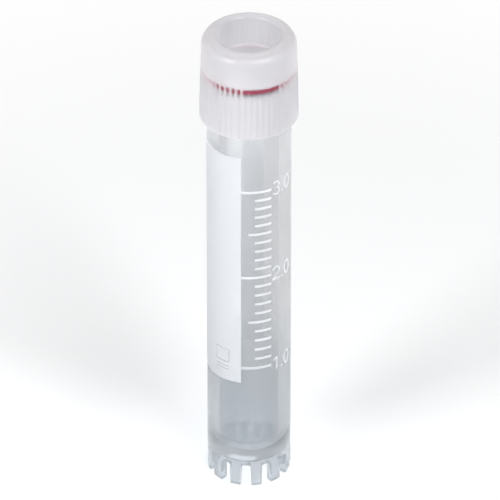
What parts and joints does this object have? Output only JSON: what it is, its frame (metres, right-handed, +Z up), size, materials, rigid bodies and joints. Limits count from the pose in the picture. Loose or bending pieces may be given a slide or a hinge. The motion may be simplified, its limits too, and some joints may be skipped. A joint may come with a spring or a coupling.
{
  "type": "cryovial",
  "caption": "Self-standing translucent cryogenic sample vial with outside-thread screw cap, red sealing washer, notched foot, white writing patch and volume marks.",
  "frame": {"origin": "middle of the foot's underside, on the surface the vial stands on", "axes": "+Z up along the tube to the cap; -Y faces the edge of the writing patch and the graduations"},
  "size_m": [0.0146, 0.0146, 0.077],
  "materials": {
    "vial_plastic": "natural translucent polypropylene, satin inside and out, with white ink print",
    "cap_plastic": "natural translucent polypropylene, satin",
    "washer_silicone": "red silicone, matt"
  },
  "bodies": {
    "vial": {"vial_body": "vial_plastic"},
    "washer": {"sealing_washer": "washer_silicone"},
    "cap": {"screw_cap": "cap_plastic"}
  },
  "joints": [
    {"name": "cap_lift", "type": "slide", "parent": "vial", "child": "washer", "axis": [0, 0, 1], "range_m": [0, 0.009]},
    {"name": "cap_turn", "type": "hinge", "parent": "washer", "child": "cap", "pos_m": [0, 0, 0.0706], "axis": [0, 0, 1], "range_deg": [0, 675]}
  ],
  "couplings": [
    {"joint": "cap_turn", "follows": "cap_lift", "rad_per_m": 1309}
  ]
}
